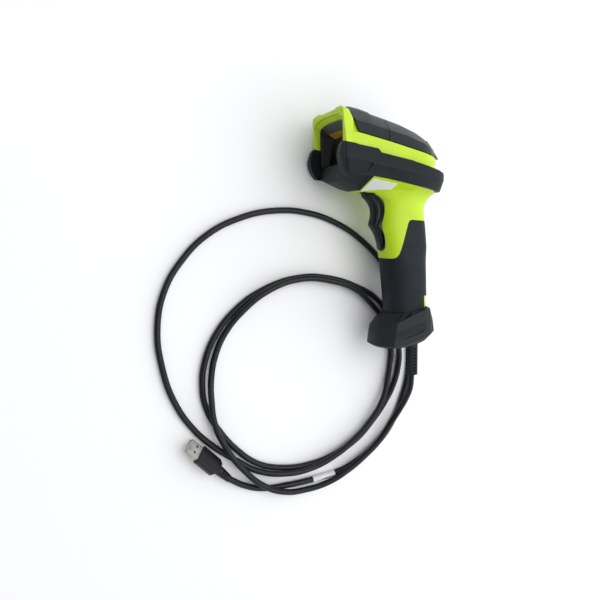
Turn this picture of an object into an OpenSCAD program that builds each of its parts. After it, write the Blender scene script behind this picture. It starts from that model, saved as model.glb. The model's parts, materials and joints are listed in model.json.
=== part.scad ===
// Handheld barcode scanner with a pistol grip, lying on its right side beside its looped data cord.
// Every piece is drawn upright first: x runs from the nose to the rear, y to the scanner's right,
// z up, with z = 0 at the crease of the head bumper. lie_down() then lays it on the table.

/* [Head] */
// Width of the head across the crease of the rubber bumper
bumper_w = 75; // [73:0.5:78]
// Width of the green housing just above the bumper
housing_w = 63; // [61:0.5:64]
// Wall of the moulded housings
wall = 2.2; // [1.8:0.1:2.6]
// Thickness of the rubber covers on the roof
cover_t = 2.5; // [2:0.1:3]
// Space between the two front ears of the bumper
ear_gap = 53; // [50:0.5:55]
// Distance from the nose plane back to the front face of the chin
chin_set = 15; // [14:0.5:17]
// Gap between the front and the rear top cover
cover_seam = 0.4; // [0.2:0.1:1]
// Width of the grey indicator lens at the rear
rear_lens_w = 28; // [20:1:32]

/* [Window] */
// Width of the scan window
window_w = 40; // [34:1:42]
// Height of the scan window
window_h = 21; // [18:0.5:22]
// Thickness of the scan window
window_t = 1.5; // [1:0.1:2]
// Thickness of the gasket behind the window
gasket_t = 1.2; // [0.8:0.1:1.4]
// Lean of the window, its lower edge further back
window_lean = 8; // [4:1:10]
// Width of the amber lens in the roof of the window recess
amber_w = 30; // [24:1:34]

/* [Scan engine] */
// Length of the engine chassis from front to rear
engine_l = 26; // [22:1:28]
// Width of the engine chassis
engine_w = 34; // [30:1:36]
// Height of the engine chassis
engine_h = 22; // [20:1:23]
// Radius of the imager lens barrel
barrel_r = 6; // [4:0.5:7]
// Radius of the aimer lens
aimer_r = 2.5; // [1.5:0.5:3]

/* [Main board] */
// Length of the main board
board_l = 60; // [50:1:61]
// Width of the main board
board_w = 48; // [46:1:50]
// Thickness of the circuit boards
board_t = 1.6; // [1:0.1:2]
// Radius of the beeper
beeper_r = 6; // [4:0.5:7]
// Height of the beeper
beeper_h = 6; // [3:0.5:8]

/* [Handle] */
// Lean of the handle in mm to the rear for each mm down
handle_lean = 0.237; // [0.22:0.005:0.25]
// Half of the handle's thickness
handle_b = 17; // [16:0.25:17.5]
// Thickness of the rubber grip sleeve
grip_t = 2; // [1.5:0.1:2.4]
// Width of the flared foot
foot_w = 43; // [41:0.5:45]
// Depth of the textured side recesses of the foot
strip_depth = 0.8; // [0.4:0.1:1.2]

/* [Trigger] */
// Width of the trigger
trigger_w = 13; // [12:0.5:13.5]
// Gap on each side of the trigger
trigger_gap = 0.4; // [0.3:0.05:0.6]
// Radius of the trigger pin
pin_r = 1.5; // [1:0.1:1.7]
// Running clearance of the trigger on its pin
pin_clearance = 0.05; // [0.03:0.01:0.08]
// Wire radius of the return spring
spring_wire_r = 0.35; // [0.25:0.05:0.4]
// Radius of the switch plunger
plunger_r = 1; // [0.8:0.1:1.2]

/* [Cord] */
// Diameter of the data cord
cord_d = 5.2; // [4.8:0.1:5.4]
// Length of the strain relief below the foot
relief_l = 26; // [22:1:30]
// Width of the strain relief at its root
relief_w = 9.8; // [9:0.1:10.5]
// Length of the moulded grip of the plug
plug_grip_l = 22; // [18:1:26]
// Width of the moulded grip of the plug
plug_grip_w = 15.5; // [14:0.5:17]
// Thickness of the moulded grip of the plug
plug_grip_t = 8; // [7:0.25:8.5]
// Length of bare metal shell on the plug
shell_l = 12; // [10:0.5:14]

/* [Hidden] */
$fn = 48;
far = 200;

// ---- Colours
lime = "#b9e52b";
charcoal = "#33363a";
black = "#222427";
amber = "#8a6410";
board_green = "#1f5f3a";
metal = "#b8bcc0";

// ---- How the scanner lies: tilted a little so that the foot rests on the cord under it
lie_tilt = 2.2;
crease_z = 1.5;
crease_drop = 0.01;
lie_h = bumper_w / 2 * cos(lie_tilt) + crease_drop;
frame_front_x = 2.3;
foot_rear_x = 126.8;
foot_rear_lost = 0.4;
crown_top = 43.83;
relief_lean = 9.8;
relief_root = [112.6, 0, -140.5];
relief_low = relief_root[2] - relief_l * cos(relief_lean) - 0.8;
centre_x = (frame_front_x + foot_rear_x - foot_rear_lost) / 2;
centre_y = (crown_top + relief_low) / 2 * cos(lie_tilt);

module lie_down() {
  translate([-centre_x, -centre_y, lie_h]) rotate([lie_tilt - 90, 0, 0]) children();
}

module on_table() {
  translate([-centre_x, -centre_y, 0]) children();
}

// ---- Helpers
// Both halves of an outline given for the right side from the bottom up
function both(h) = concat(h, [for (i = [len(h) - 1:-1:0]) [-h[i][0], h[i][1]]]);
// One pass of corner cutting on a closed outline
function soften(p, k = 0.25) = [for (i = [0:len(p) - 1], s = [0, 1])
  let (a = p[i], b = p[(i + 1) % len(p)]) s == 0 ? a + (b - a) * k : b + (a - b) * k];
function unit(v) = v / norm(v);
function power(a, e) = sign(a) * pow(abs(a), 2 / e);

// Solid through closed rings of 3-D points, each ring counter-clockwise seen from the last one. Bent ends
// are closed with flat strips between the two halves of a ring, whose points then come in mirrored pairs.
module loft(rings, bent_ends = false) {
  n = len(rings[0]);
  m = len(rings);
  sides = [for (j = [0:m - 2], i = [0:n - 1], s = [0, 1])
    let (k = (i + 1) % n, lo = j * n, hi = lo + n)
    s == 0 ? [lo + i, hi + i, hi + k] : [lo + i, hi + k, lo + k]];
  strips = [for (i = [0:n / 2 - 2]) [i, i + 1, n - 2 - i, n - 1 - i]];
  first = bent_ends ? strips : [[for (i = [0:n - 1]) i]];
  last = [for (f = first) [for (i = [len(f) - 1:-1:0]) (m - 1) * n + f[i]]];
  polyhedron([for (r = rings) each r], concat(first, last, sides), convexity = 8);
}

// A profile of [x, z] points, extruded to both sides of the middle plane
module side(points, half) {
  rotate([90, 0, 0]) linear_extrude(2 * half, center = true, convexity = 6) polygon(points);
}

// A profile of [y, z] points, extruded along x
module front(points, x0, x1) {
  translate([x0, 0, 0]) rotate([90, 0, 90]) linear_extrude(x1 - x0, convexity = 6) polygon(points);
}

// A box from its low corner to its high corner
module box(a, b) {
  translate(a) cube(b - a);
}

// A box from x0 to x1 and z0 to z1, reaching as far to both sides
module slab(x0, x1, half, z0, z1) {
  box([x0, -half, z0], [x1, half, z1]);
}

// A round bar along x, y or z from one end to the other
module bar_x(x0, x1, y, z, r) {
  translate([x0, y, z]) rotate([0, 90, 0]) cylinder(h = x1 - x0, r = r);
}
module bar_y(y0, y1, x, z, r) {
  translate([x, y0, z]) rotate([-90, 0, 0]) cylinder(h = y1 - y0, r = r);
}
module bar_z(z0, z1, x, y, r) {
  translate([x, y, z0]) cylinder(h = z1 - z0, r = r);
}

// ---- Head: bumper, housing core and roof, as sections along x
housing_y = housing_w / 2;
seam_z = 2;
bumper_top_z = 12.6;
chin_rear_x = 35;
chin_t = 2.4;
core_front_x = chin_set + chin_t;
chin_top = -1.5;

// Sections of the bumper: [x, crease y lost, top y, low y, low z, keel y, keel z]
bumper_sections = [
  [0, 6.5, 29, 29, -11.5, 11, -13], [6, 3, 31.5, 31.5, -11.5, 12, -13.2],
  [12, 1, 32.4, 32, -11.2, 12, -13.9], [20, 0.4, 32.8, 32.6, -10.4, 12, -15.9],
  [28, 0.1, 33, 33, -9.2, 12, -17.8], [35, 0, 33, 33, -8.4, 12, -18.2],
  [62, 0.2, 33, 33, -8.4, 12, -18.2], [80, 1.5, 32.4, 32.4, -8.8, 12, -16],
  [92, 4.5, 29.8, 29.8, -9.3, 12, -13], [97.5, 8, 26.5, 26.5, -9.3, 11, -12],
  [101, 11.5, 23, 23, -9, 10, -11], [103.5, 16, 18.5, 18.5, -8.6, 9, -10],
  [105.3, 23, 12, 12, -7.5, 6, -8.5]];
function bumper_ring(s, t = 0) = let (c = bumper_w / 2 - s[1] - t, z = crease_z * (1 - s[0] / far))
  [for (p = both([[s[5], s[6]], [s[3] - t, s[4]], [c, z - 1.5], [c, z],
  [s[2] - t, bumper_top_z]])) [s[0], p[0], p[1]]];

// Height of the foot of the front frame, where it stands on the ears
frame_foot_z = bumper_top_z;

// Side view of the bumper: ears at the front, chin, belt along the side
bumper_profile = [
  [4.6, 9.4], [4.2, 2.4], [6.1, -3.4], [8.2, -6.8], [10.2, -9.4], [12.6, -11.4], [13.6, -21],
  [chin_rear_x, -21], [chin_rear_x, -8.4], [47, -8.2], [73, -9], [99, -9.7], [104.6, -8.6],
  [106, -6], [106, 2.6], [104.8, 4.6], [98.5, 5.4], [90, 6.4], [84, 6.9], [65, 8.8], [37.5, 9.6],
  [35, 12.2],
  [core_front_x + 0.4, 12.2], [core_front_x, frame_foot_z], [6.4, frame_foot_z]];

// Sections of the housing core under the bumper: [x, y lost, low z, keel y, keel z]
core_sections = [
  [12, 0.7, -6.5, 12, -10.5], [20, 0.3, -6.5, 12, -11.5], [34.9, 0, -6, 12, -14],
  [35, 0, -8.4, 12, -18.6], [55, 0, -8.6, 14, -17.5], [75, 0.6, -9, 16, -15],
  [88, 3, -9.4, 14, -13], [95, 6.5, -9.4, 12, -12], [101, 14, -9.4, 8, -11]];
function core_ring(s, t) = let (y = housing_y - s[1] - t, x = min(s[0], 101 - t))
  [for (p = both([[s[3] - t / 2, s[4] + t], [y, s[2] + t], [y, seam_z]])) [x, p[0], p[1]]];

module core_form(t = 0) {
  difference() {
    loft([for (s = core_sections) core_ring(s, t)]);
    slab(-1, core_front_x + t, far, -far, far);
  }
}

// The green band above the bumper flares outwards at the rear, below the upper housing
flare_plan = [[60, 30.4], [77, 30.4], [88, 28.2], [95, 24], [99.5, 18.5], [102.3, 9]];
flare_rings = [[seam_z, 0], [7.4, 0], [9, 1.4], [11, 3.6], [13, 6.2], [16.5, 8]];

// A point of the flare on side s, drawn in by d, in a shell that is t thinner
function flare_point(p, s, d, t) = let (k = (p[0] - flare_plan[0][0]) / 42.3)
  [p[0] - k * d, s * (p[1] - min(k * 1.4, 1) * d - (1 - k) * t)];

module rear_flare(t = 0) {
  m = len(flare_plan) - 1;
  loft([for (f = flare_rings)
    [for (s = [-1, 1], i = [0:m]) let (q = flare_point(flare_plan[s < 0 ? i : m - i], s, f[1] + t, t))
      [q[0], q[1], f[0]]]]);
}

// Sections of the roof: [x, side y lost, crown z, shoulder y, z, crease y, z, skirt y, z]
roof_sections = [
  [12, 0.4, 42.4, 17, 39.2, 27.5, 30.3, 29.8, 22.5], [16, 0.2, 43.5, 17, 39.8, 27.4, 30.2, 29.8, 22.3],
  [24, 0, 43.5, 17, 39.8, 27.4, 30, 29.7, 22], [32.7, 0, 42.6, 17, 39, 27.3, 29.7, 29.6, 21.5],
  [33.1, 0, 41.8, 16.6, 38.4, 27.2, 29.5, 29.6, 21.5], [46, 0, 40.7, 17, 37.3, 27, 28.7, 29.4, 20.8],
  [62, 0.2, 39.1, 16.5, 35.8, 26.5, 27.8, 29, 19.6], [78, 1.6, 36, 16, 32.4, 25.5, 25.4, 28, 18.6],
  [86, 4.6, 33.4, 14.6, 30, 22.6, 23.8, 25, 18.3], [92, 9.6, 30.8, 12.6, 27.4, 17.8, 22.4, 19.6, 18.2],
  [96.5, 14.6, 27.6, 10.6, 24.6, 14, 21.4, 15.4, 18]];
lip_sections = [
  [99.6, 17.5, 25.4, 9.4, 23.2, 12.2, 20.8, 13.4, 18.2],
  [102.6, 20.5, 21.3, 7.6, 20.7, 9.8, 19.7, 11, 18.7]];
function cover_ring(s) = [for (p = both([[s[7], s[8]], [s[5], s[6]], [s[3], s[4]], [s[3] * 0.55, s[2]]]))
  [s[0], p[0], p[1]]];
function roof_ring(s, t) = let (u = cover_t + t, y = housing_y - s[1] - t, x = min(s[0], 96.5 - t))
  [for (p = both([[y, seam_z], [y, s[8] - 1.5 - t * 0.3], [s[7] - u * 0.95, s[8] - t * 0.3],
    [s[5] - u * 0.95, s[6] - u * 0.35], [s[3] - u * 0.65, s[4] - u], [s[3] * 0.5, s[2] - u]]))
    [x, p[0], p[1]]];
roof_nose = [8, 0.8, 41, 16.5, 37.8, 26.6, 30, 29.8, 22.8];

module roof_form(t = 0) {
  loft([for (s = concat([roof_nose], roof_sections)) roof_ring(s, t)]);
  rear_flare(t);
}

module cover_form() {
  loft([for (s = concat(roof_sections, lip_sections)) cover_ring(s)]);
}

module head_bumper() {
  color(black) lie_down() difference() {
    intersection() {
      loft([for (s = bumper_sections) bumper_ring(s)]);
      side(bumper_profile, far);
    }
    core_form();
    handle_form();
    roof_body();
    box([core_front_x, -housing_y, seam_z - 0.01], [88, housing_y, far]);
    slab(-1, chin_set, ear_gap / 2, -far, far);
    slab(-1, core_front_x + 0.01, bezel_y + 0.1, chin_top, far);
    for (s = [-1, 1]) belt_panel(s);
    difference() {
      side(ear_groove, far);
      loft([for (s = bumper_sections) bumper_ring(s, groove_depth)]);
    }
  }
}

// Fine groove a little behind the front edge of each ear
groove_depth = 0.5;
groove_w = 0.7;
groove_line = [[7.9, 13], [7.7, 2.4], [9.5, -3.2], [11.5, -6.4], [14.4, -9.6]];
ear_groove = concat(groove_line, [for (i = [4:-1:0]) groove_line[i] + [groove_w, 0]]);

// Shallow panel in the side of the bumper behind each ear
module belt_panel(s) {
  panel_depth = 0.9;
  panel = [[12.8, -8.2], [11.6, 0.4], [31, 0.4], [28, -7.5]];
  face_y = bumper_w / 2 - panel_depth;
  intersection() {
    side(soften(panel, 0.12), far);
    front([for (p = [[face_y, 0.6], [far, 0.6], [far, -12], [face_y - 4.7, -12]]) [s * p[0], p[1]]], 0, 60);
  }
}

// Front frame of the upper housing: side profile, outlines at its front and at its rear, and rings of
// the opening that narrows to the bezel: [x, y low down, y at the shoulder, z, y of the arch, z, crown z]
frame_rear_x = 13.2;
frame_profile = [
  [8.2, frame_foot_z], [6.4, 21], [4.4, 29], [frame_front_x, 36.6], [3.2, 39.2], [7, 40.6], [14, 43.2],
  [14, frame_foot_z]];
frame_front_outline = both([
  [32.4, frame_foot_z], [30.7, 27], [30.3, 34.6], [28.6, 37], [24.4, 38.7], [15.6, 38.9], [13.6, 37.3],
  [5, 37.5]]);
frame_rear_outline = both([
  [32, frame_foot_z], [30, 22.3], [27.7, 30.4], [22.6, 34.8], [17.2, 39.3], [9.5, 42.5], [6, 42.6],
  [2, 42.6]]);
function opening_ring(f) = [for (p = both([[f[1], 0], [f[2], f[3]], [f[4], f[5]], [f[4] * 0.45, f[6]]]))
  [f[0], p[0], p[1]]];

module frame_opening() {
  loft([for (f = [
    [1, 28.4, 27.2, 30.4, 20.6, 33.4, 34.2], [5, 28.4, 27.2, 30.4, 20.6, 33.4, 34.2],
    [8.4, 26.8, 25.2, 28.8, 19.4, 31.4, 32], [10, 25.6, 25, 28.4, 19, 30.4, 31],
    [14, 25.4, 25, 28.4, 19, 30.4, 31]]) opening_ring(f)]);
}

// The roof without the room of the ears
module roof_body() {
  difference() {
    roof_form();
    slab(-1, core_front_x, far, -far, frame_foot_z);
  }
}

module upper_housing() {
  color(lime) lie_down() difference() {
    union() {
      roof_body();
      intersection() {
        loft([for (f = [[0, frame_front_outline], [4.4, frame_front_outline],
          [frame_rear_x, frame_rear_outline]])
          [for (p = f[1]) [f[0], p[0], p[1]]]]);
        side(frame_profile, far);
      }
    }
    intersection() {
      roof_form(wall);
      slab(13, far, far, -far, far);
    }
    frame_opening();
    bezel_envelope(0.05);
    slab(rear_lens_x - 4.1, far, rear_lens_w / 2 - 3.05, lens_slot[0] - 0.05, lens_slot[1] + 0.05);
  }
}

// Side view of the joint line between the covers and of the front edge
cover_front_edge = [
  [frame_rear_x, 46], [frame_rear_x, 34], [15.3, 31], [16, 28], [17.4, 24.4], [19.4, 22], [19.8, 20],
  [0, 20], [0, 46]];
cover_split_x = 44.8;

module front_cover() {
  color(charcoal) lie_down() difference() {
    cover_form();
    roof_form();
    side(cover_front_edge, far);
    slab(cover_split_x, far, far, -far, far);
  }
}

module rear_cover() {
  color(charcoal) lie_down() difference() {
    cover_form();
    roof_form();
    slab(-far, cover_split_x + cover_seam, far, -far, far);
    difference() {
      linear_extrude(far) polygon(status_plan(0.05));
      translate([0, 0, -status_sunk]) cover_form();
    }
  }
}

// Translucent status lens let into the rear end of the roof
status_middle = [96, 0];
status_half = [
  [[-5.4, -4.6], [-4, -7.4], [2.6, -7.6], [5, -5.2]], [[5, 5.2], [2.6, 7.6], [-4, 7.4], [-5.4, 4.6]]];
status_sunk = 0.9;
status_proud = 1.2;
function status_plan(gap) = [for (h = status_half, p = h) status_middle + p * (1 + gap / 4)];

module status_lens() {
  color("#8a9494") lie_down() difference() {
    intersection() {
      linear_extrude(far) polygon(status_plan(0));
      translate([0, 0, status_proud]) cover_form();
    }
    translate([0, 0, -status_sunk]) cover_form();
  }
}

// Grey indicator lens in the rear wall under the lip
rear_lens_x = 96.5;
lens_low = 11.6;
lens_high = 18.5;
lens_slot = [11.8, 16];

// The lens fills a slot in the rear wall and stands out behind it
module rear_lens() {
  y = rear_lens_w / 2;
  plan = [[rear_lens_x - 4, y + 1], [rear_lens_x - 1, y - 0.6], [rear_lens_x + 2.4, y - 4.4],
    [rear_lens_x + 3.4, 0]];
  outline = concat(plan, [for (i = [2:-1:0]) [plan[i][0], -plan[i][1]]]);
  color("#8a9494") lie_down() difference() {
    translate([0, 0, lens_low]) linear_extrude(lens_high - lens_low) polygon(outline);
    difference() {
      roof_form();
      slab(rear_lens_x - 4, far, y - 3.1, lens_slot[0], lens_slot[1]);
    }
    cover_form();
  }
}

// ---- Window recess
bezel_y = 24.9;
bezel_back_x = 21.6;
bezel_profile = [
  [8.2, 31.8], [8.5, 29], [9, 25.3], [10, 18.6], [11.3, 12], [12.6, 3], [13.4, chin_top],
  [bezel_back_x, chin_top], [bezel_back_x, 31.8]];
bezel_arch = both([[bezel_y, chin_top], [bezel_y, 27.4], [23.6, 28.9], [18.6, 30.1], [9.2, 30.9]]);
window_top = [18.9, 23.4];

module bezel_envelope(gap = 0) {
  intersection() {
    side([for (p = bezel_profile) [p[0] + (p[0] > 20 ? gap : 0), p[1] + (p[1] < 0 ? -gap : 0)]],
      bezel_y + gap);
    front([for (p = bezel_arch) [p[0] * (1 + gap / bezel_y), p[1] + (p[1] < 0 ? -gap : gap)]], 0, 30);
  }
}

// The funnel of the recess: [x, half width at the top, z of the ceiling, half width below, z of the floor]
module recess() {
  loft([for (f = [[7, 24.6, 31.6, 24.6, -3], [12.4, 22.6, 24.4, 23, -3], [19, 19.4, 22, 19.4, 1.4],
    [24, 19, 20, 19, 3]])
    [for (p = both([[f[3], f[4]], [f[1], f[2] - 4], [f[1] * 0.9, f[2]]])) [f[0], p[0], p[1]]]]);
}

// Puts children into the leaning plane of the window, with its top edge on the y axis
module window_plane() {
  translate([window_top[0], 0, window_top[1]]) rotate([0, -window_lean, 0]) children();
}

module window_bezel() {
  color(black) lie_down() difference() {
    bezel_envelope();
    recess();
    window_plane() slab(-0.02, far, window_w / 2 + 0.1, -window_h - 0.6, 0.1);
    side(amber_profile, amber_w / 2 + 0.05);
  }
}

module scan_window() {
  color("#3a4a50") lie_down() window_plane() slab(0, window_t, window_w / 2, -window_h - 0.5, 0);
}

module window_gasket() {
  gasket_rim = 1.6;
  color(black) lie_down() window_plane() difference() {
    slab(window_t, window_t + gasket_t, window_w / 2, -window_h - 0.5, 0);
    slab(0, far, window_w / 2 - gasket_rim, -window_h - 0.5 + gasket_rim, -gasket_rim);
  }
}

amber_profile = [[12.7, 24.2], [12.7, 25.9], [18.6, 23.6], [18.6, 21.9]];

module amber_lens() {
  color(amber) lie_down() side(amber_profile, amber_w / 2);
}

// ---- Scan engine on the main board
engine_x = 25;
board_top = -0.4;
engine_y = engine_w / 2;
optics_z = 11.5;
aimer_y = -11.5;
engine_ear = 4.6;
engine_ear_t = 2;
engine_ear_x = [4.5, engine_l - 4.5];
engine_screw_r = 1;
engine_screw_y = engine_y + engine_ear / 2;
screw_slack = 0.05;

module engine_chassis() {
  barrel_seat = 12;
  color("#4b4f55") lie_down() difference() {
    union() {
      slab(engine_x, engine_x + engine_l, engine_y, board_top, board_top + engine_h);
      for (dx = engine_ear_x)
        slab(engine_x + dx - 2.4, engine_x + dx + 2.4, engine_y + engine_ear, board_top,
          board_top + engine_ear_t);
    }
    bar_x(engine_x - 1, engine_x + barrel_seat, 0, optics_z, barrel_r + screw_slack);
    bar_x(engine_x - 1, engine_x + 6, aimer_y, optics_z, aimer_r + screw_slack);
    slab(engine_x + barrel_seat + 1.5, engine_x + engine_l - 1.5, engine_y - 2, board_top + 2,
      board_top + engine_h - 2);
    bar_x(engine_x + barrel_seat - 1, engine_x + barrel_seat + 2, 0, optics_z, barrel_r - 2);
    for (dx = engine_ear_x, s = [-1, 1])
      bar_z(board_top - 1, board_top + 5, engine_x + dx, s * engine_screw_y, engine_screw_r + screw_slack);
  }
}

lens_set = 1;
lens_t = 1.6;
barrel_out = 1.2;

module imager_barrel() {
  color(black) lie_down() difference() {
    bar_x(engine_x - barrel_out, engine_x + 12, 0, optics_z, barrel_r);
    bar_x(engine_x - far, engine_x - barrel_out + lens_set + lens_t, 0, optics_z,
      barrel_r - 1.4 + screw_slack);
    bar_x(engine_x - far, engine_x + far, 0, optics_z, barrel_r - 2.6);
  }
}

module imager_lens() {
  lens_x = engine_x - barrel_out + lens_set;
  color("#7fa0c0") lie_down() bar_x(lens_x, lens_x + lens_t, 0, optics_z, barrel_r - 1.4);
}

module aimer_lens() {
  color("#c03030") lie_down() bar_x(engine_x - 0.8, engine_x + 6, aimer_y, optics_z, aimer_r);
}

module illumination_leds() {
  led = 1.5;
  color("white") lie_down() for (y = [-12, -7, 7, 12])
    box([engine_x - led + 0.2, y - 1.4, board_top + engine_h - 3.6],
      [engine_x, y + 1.4, board_top + engine_h - 0.8]);
}

module sensor_board() {
  color(board_green) lie_down() slab(engine_x + engine_l, engine_x + engine_l + board_t, engine_y - 2,
    board_top + 1.5, board_top + engine_h - 1.5);
}

module engine_screws() {
  color(metal) lie_down() for (dx = engine_ear_x, s = [-1, 1]) {
    bar_z(board_top - board_t, board_top + engine_ear_t, engine_x + dx, s * engine_screw_y, engine_screw_r);
    bar_z(board_top + engine_ear_t, board_top + engine_ear_t + 1.2, engine_x + dx, s * engine_screw_y, 1.9);
  }
}

// ---- Main board, its parts and its screws
board_x = 25.5;
board_low = board_top - board_t;
board_hole_r = 1.3;
board_screw_r = 1.25;
board_screws_at = [[board_x + 13, board_w / 2 - 2.6], [board_x + 36.5, board_w / 2 - 2.6]];
boss_r = 3;
boss_low = -8.4;

module board_screw_places() {
  for (p = board_screws_at, s = [-1, 1]) translate([p[0], s * p[1], 0]) children();
}

module main_board() {
  corner = 6;
  rear_x = board_x + board_l;
  outline = both([[board_w / 2, board_x], [board_w / 2, rear_x - 2.2 * corner],
    [board_w / 2 - corner, rear_x]]);
  color(board_green) lie_down() difference() {
    translate([0, 0, board_low]) linear_extrude(board_t) polygon([for (p = outline) [p[1], p[0]]]);
    board_screw_places() bar_z(board_low - 1, board_top + 1, 0, 0, board_hole_r);
    for (dx = engine_ear_x, s = [-1, 1]) if (engine_x + dx > board_x)
      bar_z(board_low - 1, board_top + 1, engine_x + dx, s * engine_screw_y, engine_screw_r + screw_slack);
  }
}

module board_screws() {
  head_r = 2.2;
  head_h = 1.3;
  color(metal) lie_down() board_screw_places() {
    bar_z(boss_low + 2, board_top, 0, 0, board_screw_r);
    bar_z(board_top, board_top + head_h, 0, 0, head_r);
  }
}

module board_chips() {
  chips = [[56, -9, 11, 11, 1.4], [56, 8, 8, 6, 1], [69, -3, 6, 6, 1.1], [79, -4, 5, 8, 2.2]];
  color(black) lie_down() {
    for (c = chips) box([c[0], c[1], board_top], [c[0] + c[2], c[1] + c[3], board_top + c[4]]);
    slab(70, 75, 5, board_low - 2, board_low);
  }
}

module beeper() {
  color(black) lie_down() bar_z(board_top, board_top + beeper_h, 71, 12.5, beeper_r);
}

module vibration_motor() {
  motor_r = 5;
  motor_h = 3;
  color(metal) lie_down() bar_z(board_top, board_top + motor_h, 71, -12, motor_r);
}

// ---- Handle: rings of [z, rear x, front x, half thickness, roundness, lean]
neck_rings = [
  [-9, 104.6, 46, 26, 3, 0], [-12, 102.4, 45.5, 22.5, 2.8, 0], [-15, 100.9, 45, 20, 2.6, 0],
  [-18.4, 99.8, 47, 18.3, 2.5, 0], [-20.2, 99.4, 51.6, 17.8, 2.5, 0], [-22.4, 99.1, 55.2, 17.3, 2.5, 0],
  [-25, 98.9, 57.4, 17, 2.6, 0.05], [-31, 100, 58.9, 16.7, 2.8, 0.1], [-40, 102.7, 60, 16.6, 2.8, 0.16]];
grip_depths = [[-58, 19.7], [-70, 19.1], [-90, 18.4], [-110, 17.9], [-125, 17.3], [-146, 16.6]];
function handle_x(z) = 73.9 - handle_lean * z;
handle_rings = concat(neck_rings, [for (z = [-58, -70, -90, -110, -125, -146])
  let (a = lookup(z, grip_depths)) [z, handle_x(z) + a, handle_x(z) - a, handle_b, z > -60 ? 2.6 : 2.3,
    handle_lean]]);
ring_points = 28;

// One ring of the handle, made smaller by t all round
function handle_ring(r, t) = [for (i = [0:ring_points - 1])
  let (a = 360 * i / ring_points, x = ((r[1] - r[2]) / 2 - t) * power(cos(a), r[4]),
    y = (r[3] - t) * power(sin(a), r[4])) [(r[1] + r[2]) / 2 + x, y, r[0] + x * r[5]]];

// The handle as a solid. Rings go from the lowest up, lift carries the top one into the head.
module handle_form(t = 0, upper_t = undef, lift = 0) {
  thin = is_undef(upper_t) ? t : upper_t;
  n = len(handle_rings);
  rings = [for (i = [n - 1:-1:0]) handle_ring(handle_rings[i], handle_rings[i][0] > -35 ? thin : t)];
  top = [for (p = rings[n - 1]) p + [0, 0, lift]];
  loft(lift > 0 ? concat(rings, [top]) : rings);
}

// Plane of the foot, as the height at a place along x
function foot_floor(x) = -138 + handle_lean * (x - 75);
function foot_top(x) = -113 + handle_lean * (x - 83);
floor_cut = [[0, foot_floor(0)], [far, foot_floor(far)], [far, -far], [0, -far]];
shoulder_lift = 0.5;
below_top = [[0, foot_top(0) + shoulder_lift], [far, foot_top(far) + shoulder_lift], [far, -far],
  [0, -far]];
cavity_t = wall + grip_t;

// Side view of the rubber grip on the handle
grip_zone = [
  [far, -32.9], [95.7, -33.2], [83, -34.4], [81.2, -35.2], [80.3, -37.2], [77.8, -60], [77, -64.6],
  [75.6, -66.9],
  [73.4, -67.9], [69, -68.7], [40, -69], [40, -far], [far, -far]];

// Slot of the trigger: half widths seen from the front, as [mm less than at the top, z]
slot_y = trigger_w / 2 + trigger_gap;
slot_rows = [
  [5, -61.2], [3.5, -60.2], [2.1, -58.4], [1.2, -55.5], [0.6, -50], [0.4, -42], [0, -36], [0, -5]];
function slot_face(gap) = both([for (r = slot_rows) [trigger_w / 2 - r[0] + gap,
  r[1] - (r[1] < -57 ? gap : 0)]]);
rim_rows = [
  [4.7, -62.8], [1.6, -61.9], [-0.4, -60], [-1.9, -56], [-2.5, -50], [-1.6, -46], [-1.3, -42],
  [-2.9, -36.5], [-3.5, -31], [-3.3, -5]];
function rim_face(gap) = both([for (r = rim_rows) [trigger_w / 2 - r[0] + gap,
  r[1] - (r[1] < -57 ? gap : 0)]]);
trigger_room = [[41, -13], [62, -13], [69, -30], [72, -45], [79.5, -56], [79.5, -64], [41, -64]];

// Space for the trigger through the wall
module trigger_slot() {
  intersection() {
    side(trigger_room, far);
    front(slot_face(trigger_gap), 0, far);
  }
}

// Space for the surround in the front of the handle
module surround_seat(gap) {
  difference() {
    intersection() {
      side(trigger_room, far);
      front(rim_face(gap), 0, far);
    }
    core_form();
  }
}

// Place for a neck strap low on the back of the handle, where the sleeve leaves the housing bare
module strap_place(gap = 0) {
  slab(104, far, 14.5 + gap, -104.2 - gap, -95 + gap);
}

// The outlet of the cord through the foot: relief, plug and socket, each with a gap round it
module outlet(gap) {
  relief_frame() {
    box([-relief_w / 2 - gap, -relief_d / 2 - gap, -30],
      [relief_w / 2 + gap, relief_d / 2 + gap, plug_low + 1]);
    box([-modular_x - gap, -modular_y - gap, plug_low - gap],
      [modular_x + gap, modular_y + gap, plug_low + 10]);
    box([-modular_x - socket_wall - 0.6 - gap, -modular_y - socket_wall - gap, socket_low - gap],
      [modular_x + socket_wall + gap, modular_y + socket_wall + gap, plug_low + plug_body_l + 2 + gap]);
  }
}

module lower_housing() {
  difference() {
    union() {
      core_form();
      handle_form(grip_t);
      difference() {
        handle_form();
        side(grip_zone, far);
      }
      intersection() {
        handle_form(0.7);
        strap_place();
      }
    }
    intersection() {
      core_form(wall);
      slab(-far, 98, far, -far, far);
    }
    slab(core_front_x + wall, 95.5, housing_y - 10, seam_z - 3, far);
    bezel_envelope(0.05);
    handle_form(cavity_t, wall, 6);
    side(floor_cut, far);
    surround_seat(0.05);
    trigger_slot();
    outlet(0.1);
  }
  intersection() {
    lower_bosses();
    core_form();
  }
}

// Bosses for the board screws
module lower_bosses() {
  board_screw_places() difference() {
    bar_z(boss_low - 4, board_low, 0, 0, boss_r);
    bar_z(boss_low, board_low + 1, 0, 0, board_screw_r + screw_slack);
  }
}

handle_screws_at = [[90.6, -45], [101.7, -92]];
handle_screw_r = 1.5;
handle_boss_r = 3.2;

screw_head_y = handle_b - grip_t - 2.6;

// Bosses across the handle, from the parting plane to the wall
module handle_bosses(s) {
  inner_y = handle_b - cavity_t + 0.6;
  for (p = handle_screws_at) difference() {
    bar_y(min(0, s * inner_y), max(0, s * inner_y), p[0], p[1], handle_boss_r);
    bar_y(-far, far, p[0], p[1], handle_screw_r + screw_slack);
  }
}

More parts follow.
